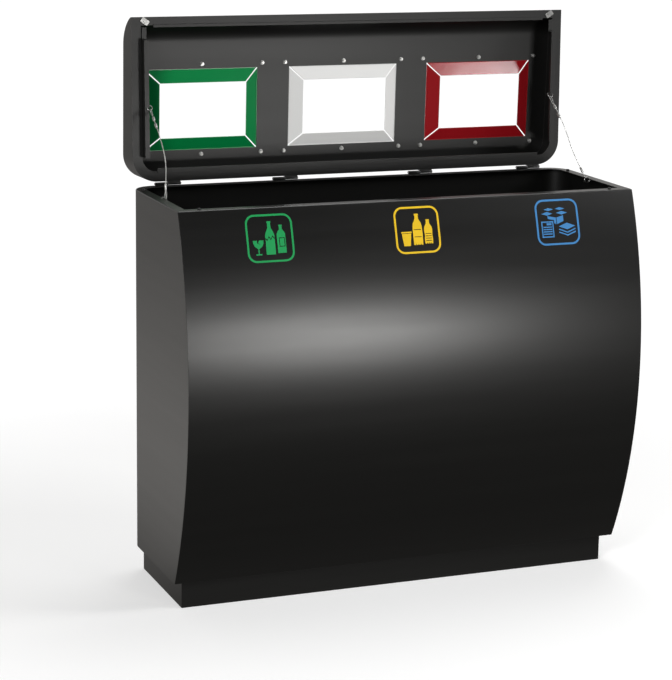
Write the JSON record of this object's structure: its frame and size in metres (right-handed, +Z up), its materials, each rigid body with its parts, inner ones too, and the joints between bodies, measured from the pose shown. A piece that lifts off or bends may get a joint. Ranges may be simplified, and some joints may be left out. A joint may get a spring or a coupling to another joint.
{
  "type": "recycling bin station",
  "caption": "Free-standing recycling bin with a bulging front, lift-up lid with framed openings and lift-out steel liners.",
  "frame": {"origin": "on the ground at the centre of the four anchor holes, under the middle of the rim", "axes": "+Z up, the curved front faces -Y, the hinges run along X at the rear top edge"},
  "size_m": [1.15, 0.5415, 1.3488],
  "materials": {
    "black_coat": "satin black powder coat",
    "green_coat": "satin green powder coat",
    "white_coat": "satin white powder coat",
    "red_coat": "satin red powder coat",
    "galvanised": "galvanised sheet",
    "zinc": "bright zinc plate",
    "steel_rope": "bare wire rope",
    "black_plastic": "moulded",
    "black_rubber": "matt",
    "green_vinyl": "vinyl film",
    "yellow_vinyl": "vinyl film",
    "blue_vinyl": "vinyl film"
  },
  "bodies": {
    "body": {"wrap_shell": "black_coat", "front_panel": "black_coat", "floor_plate": "black_coat", "plinth": "black_coat", "anchor_access_plugs": "black_plastic", "liner_support_rails": "galvanised", "liner_divider_plates": "galvanised", "liner_stop_angles": "galvanised", "rim_buffers": "black_rubber", "hinge_body_knuckles": "black_coat", "hinge_pins": "zinc", "cable_rings_body": "zinc", "label_glass": "green_vinyl", "label_plastic": "yellow_vinyl", "label_paper": "blue_vinyl", "restraint_cable_left": "steel_rope", "restraint_cable_right": "steel_rope"},
    "lid": {"lid_shell": "black_coat", "aperture_frame_green": "green_coat", "aperture_frame_white": "white_coat", "aperture_frame_red": "red_coat", "frame_screws": "zinc", "frame_washers": "zinc", "frame_nuts": "zinc", "hinge_lid_knuckles": "black_coat", "cable_rings_lid": "zinc", "lid_side_lips": "black_coat", "lid_edge_bars": "black_coat", "lid_corner_plates": "zinc", "corner_plate_rivets": "zinc"},
    "left_liner": {"liner_left": "galvanised"},
    "centre_liner": {"liner_centre": "galvanised"},
    "right_liner": {"liner_right": "galvanised"},
    "left_bail": {"bail_handle_left": "zinc"},
    "centre_bail": {"bail_handle_centre": "zinc"},
    "right_bail": {"bail_handle_right": "zinc"}
  },
  "joints": [
    {"name": "lid_hinge", "type": "hinge", "parent": "body", "child": "lid", "pos_m": [0, 0.1875, 0.953], "axis": [-1, 0, 0], "range_deg": [-91.7, 0], "deforming": ["restraint_cable_left", "restraint_cable_right"]},
    {"name": "left_liner_lift", "type": "slide", "parent": "body", "child": "left_liner", "axis": [0, 0, 1], "range_m": [0, 0.9]},
    {"name": "centre_liner_lift", "type": "slide", "parent": "body", "child": "centre_liner", "axis": [0, 0, 1], "range_m": [0, 0.9]},
    {"name": "right_liner_lift", "type": "slide", "parent": "body", "child": "right_liner", "axis": [0, 0, 1], "range_m": [0, 0.9]},
    {"name": "left_bail_swing", "type": "hinge", "parent": "left_liner", "child": "left_bail", "pos_m": [-0.354, 0, 0.813], "axis": [1, 0, 0], "range_deg": [0, 90]},
    {"name": "centre_bail_swing", "type": "hinge", "parent": "centre_liner", "child": "centre_bail", "pos_m": [0, 0, 0.813], "axis": [1, 0, 0], "range_deg": [0, 90]},
    {"name": "right_bail_swing", "type": "hinge", "parent": "right_liner", "child": "right_bail", "pos_m": [0.354, 0, 0.813], "axis": [1, 0, 0], "range_deg": [0, 90]}
  ]
}
